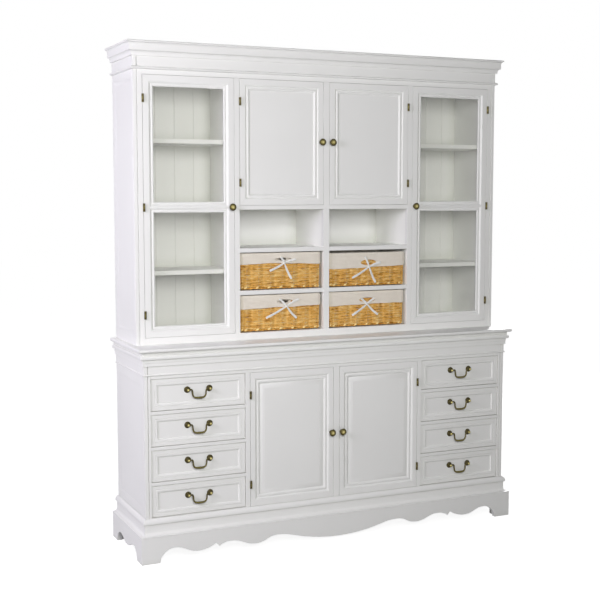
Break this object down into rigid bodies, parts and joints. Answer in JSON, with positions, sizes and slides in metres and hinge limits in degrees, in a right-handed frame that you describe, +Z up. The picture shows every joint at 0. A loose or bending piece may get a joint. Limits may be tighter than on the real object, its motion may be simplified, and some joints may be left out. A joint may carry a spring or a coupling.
{
  "type": "buffet cabinet",
  "caption": "Tall painted kitchen dresser: a base with drawers and doors, and a hutch with glazed doors, panelled doors, cubbies and lined wicker baskets.",
  "frame": {"origin": "on the floor, in the middle of the cabinet's width and depth", "axes": "+X to the right as seen from the front, +Y to the back, +Z up"},
  "size_m": [1.86, 0.465, 2.2],
  "materials": {
    "painted_wood": "off-white satin paint over wood",
    "brass_fittings": "antique brass, dark in the hollows",
    "clear_glass": "clear flat glass",
    "wicker": "woven honey-brown willow",
    "linen": "cream woven cloth and ribbon"
  },
  "bodies": {
    "cabinet": {"plinth_front_apron": "painted_wood", "plinth_side_aprons": "painted_wood", "plinth_rails_and_blocks": "painted_wood", "plinth_moulding": "painted_wood", "base_face_frame": "painted_wood", "base_inner_boards": "painted_wood", "base_sides": "painted_wood", "buffet_top": "painted_wood", "hutch_face_frame": "painted_wood", "hutch_inner_boards": "painted_wood", "hutch_back_boards": "painted_wood", "hutch_sides": "painted_wood", "cornice": "painted_wood", "frame_hinge_leaves": "brass_fittings"},
    "base_door_left": {"base_door_left": "painted_wood", "base_door_left_fittings": "brass_fittings"},
    "upper_door_left": {"upper_door_left": "painted_wood", "upper_door_left_fittings": "brass_fittings"},
    "glazed_door_left": {"glazed_door_left": "painted_wood", "glazed_door_left_fittings": "brass_fittings", "glazed_door_left_glass": "clear_glass"},
    "drawer_left_1": {"drawer_left_1": "painted_wood", "drawer_left_1_handle_posts": "brass_fittings"},
    "bail_left_1": {"drawer_left_1_bail": "brass_fittings"},
    "drawer_left_2": {"drawer_left_2": "painted_wood", "drawer_left_2_handle_posts": "brass_fittings"},
    "bail_left_2": {"drawer_left_2_bail": "brass_fittings"},
    "drawer_left_3": {"drawer_left_3": "painted_wood", "drawer_left_3_handle_posts": "brass_fittings"},
    "bail_left_3": {"drawer_left_3_bail": "brass_fittings"},
    "drawer_left_4": {"drawer_left_4": "painted_wood", "drawer_left_4_handle_posts": "brass_fittings"},
    "bail_left_4": {"drawer_left_4_bail": "brass_fittings"},
    "basket_left_1": {"basket_left_1": "wicker", "basket_left_1_liner": "linen"},
    "basket_left_2": {"basket_left_2": "wicker", "basket_left_2_liner": "linen"},
    "base_door_right": {"base_door_right": "painted_wood", "base_door_right_fittings": "brass_fittings"},
    "upper_door_right": {"upper_door_right": "painted_wood", "upper_door_right_fittings": "brass_fittings"},
    "glazed_door_right": {"glazed_door_right": "painted_wood", "glazed_door_right_fittings": "brass_fittings", "glazed_door_right_glass": "clear_glass"},
    "drawer_right_1": {"drawer_right_1": "painted_wood", "drawer_right_1_handle_posts": "brass_fittings"},
    "bail_right_1": {"drawer_right_1_bail": "brass_fittings"},
    "drawer_right_2": {"drawer_right_2": "painted_wood", "drawer_right_2_handle_posts": "brass_fittings"},
    "bail_right_2": {"drawer_right_2_bail": "brass_fittings"},
    "drawer_right_3": {"drawer_right_3": "painted_wood", "drawer_right_3_handle_posts": "brass_fittings"},
    "bail_right_3": {"drawer_right_3_bail": "brass_fittings"},
    "drawer_right_4": {"drawer_right_4": "painted_wood", "drawer_right_4_handle_posts": "brass_fittings"},
    "bail_right_4": {"drawer_right_4_bail": "brass_fittings"},
    "basket_right_1": {"basket_right_1": "wicker", "basket_right_1_liner": "linen"},
    "basket_right_2": {"basket_right_2": "wicker", "basket_right_2_liner": "linen"}
  },
  "joints": [
    {"name": "base_door_left_hinge", "type": "hinge", "parent": "cabinet", "child": "base_door_left", "pos_m": [-0.4195, -0.2088, 0.4884], "axis": [0, 0, -1], "range_deg": [0, 90]},
    {"name": "upper_door_left_hinge", "type": "hinge", "parent": "cabinet", "child": "upper_door_left", "pos_m": [-0.4205, -0.0998, 1.788], "axis": [0, 0, -1], "range_deg": [0, 110]},
    {"name": "glazed_door_left_hinge", "type": "hinge", "parent": "cabinet", "child": "glazed_door_left", "pos_m": [-0.8575, -0.0998, 1.5055], "axis": [0, 0, -1], "range_deg": [0, 110]},
    {"name": "drawer_left_1_slide", "type": "slide", "parent": "cabinet", "child": "drawer_left_1", "axis": [0, -1, 0], "range_m": [0, 0.3]},
    {"name": "bail_left_1_swing", "type": "hinge", "parent": "drawer_left_1", "child": "bail_left_1", "pos_m": [-0.656, -0.2085, 0.73095], "axis": [-1, 0, 0], "range_deg": [0, 90]},
    {"name": "drawer_left_2_slide", "type": "slide", "parent": "cabinet", "child": "drawer_left_2", "axis": [0, -1, 0], "range_m": [0, 0.3]},
    {"name": "bail_left_2_swing", "type": "hinge", "parent": "drawer_left_2", "child": "bail_left_2", "pos_m": [-0.656, -0.2085, 0.57825], "axis": [-1, 0, 0], "range_deg": [0, 90]},
    {"name": "drawer_left_3_slide", "type": "slide", "parent": "cabinet", "child": "drawer_left_3", "axis": [0, -1, 0], "range_m": [0, 0.3]},
    {"name": "bail_left_3_swing", "type": "hinge", "parent": "drawer_left_3", "child": "bail_left_3", "pos_m": [-0.656, -0.2085, 0.42555], "axis": [-1, 0, 0], "range_deg": [0, 90]},
    {"name": "drawer_left_4_slide", "type": "slide", "parent": "cabinet", "child": "drawer_left_4", "axis": [0, -1, 0], "range_m": [0, 0.3]},
    {"name": "bail_left_4_swing", "type": "hinge", "parent": "drawer_left_4", "child": "bail_left_4", "pos_m": [-0.656, -0.2085, 0.27285], "axis": [-1, 0, 0], "range_deg": [0, 90]},
    {"name": "basket_left_1_slide", "type": "slide", "parent": "cabinet", "child": "basket_left_1", "axis": [0, -1, 0], "range_m": [0, 0.25]},
    {"name": "basket_left_2_slide", "type": "slide", "parent": "cabinet", "child": "basket_left_2", "axis": [0, -1, 0], "range_m": [0, 0.25]},
    {"name": "base_door_right_hinge", "type": "hinge", "parent": "cabinet", "child": "base_door_right", "pos_m": [0.4195, -0.2088, 0.4884], "axis": [0, 0, 1], "range_deg": [0, 90]},
    {"name": "upper_door_right_hinge", "type": "hinge", "parent": "cabinet", "child": "upper_door_right", "pos_m": [0.4205, -0.0998, 1.788], "axis": [0, 0, 1], "range_deg": [0, 110]},
    {"name": "glazed_door_right_hinge", "type": "hinge", "parent": "cabinet", "child": "glazed_door_right", "pos_m": [0.8575, -0.0998, 1.5055], "axis": [0, 0, 1], "range_deg": [0, 110]},
    {"name": "drawer_right_1_slide", "type": "slide", "parent": "cabinet", "child": "drawer_right_1", "axis": [0, -1, 0], "range_m": [0, 0.3]},
    {"name": "bail_right_1_swing", "type": "hinge", "parent": "drawer_right_1", "child": "bail_right_1", "pos_m": [0.656, -0.2085, 0.73095], "axis": [-1, 0, 0], "range_deg": [0, 90]},
    {"name": "drawer_right_2_slide", "type": "slide", "parent": "cabinet", "child": "drawer_right_2", "axis": [0, -1, 0], "range_m": [0, 0.3]},
    {"name": "bail_right_2_swing", "type": "hinge", "parent": "drawer_right_2", "child": "bail_right_2", "pos_m": [0.656, -0.2085, 0.57825], "axis": [-1, 0, 0], "range_deg": [0, 90]},
    {"name": "drawer_right_3_slide", "type": "slide", "parent": "cabinet", "child": "drawer_right_3", "axis": [0, -1, 0], "range_m": [0, 0.3]},
    {"name": "bail_right_3_swing", "type": "hinge", "parent": "drawer_right_3", "child": "bail_right_3", "pos_m": [0.656, -0.2085, 0.42555], "axis": [-1, 0, 0], "range_deg": [0, 90]},
    {"name": "drawer_right_4_slide", "type": "slide", "parent": "cabinet", "child": "drawer_right_4", "axis": [0, -1, 0], "range_m": [0, 0.3]},
    {"name": "bail_right_4_swing", "type": "hinge", "parent": "drawer_right_4", "child": "bail_right_4", "pos_m": [0.656, -0.2085, 0.27285], "axis": [-1, 0, 0], "range_deg": [0, 90]},
    {"name": "basket_right_1_slide", "type": "slide", "parent": "cabinet", "child": "basket_right_1", "axis": [0, -1, 0], "range_m": [0, 0.25]},
    {"name": "basket_right_2_slide", "type": "slide", "parent": "cabinet", "child": "basket_right_2", "axis": [0, -1, 0], "range_m": [0, 0.25]}
  ]
}
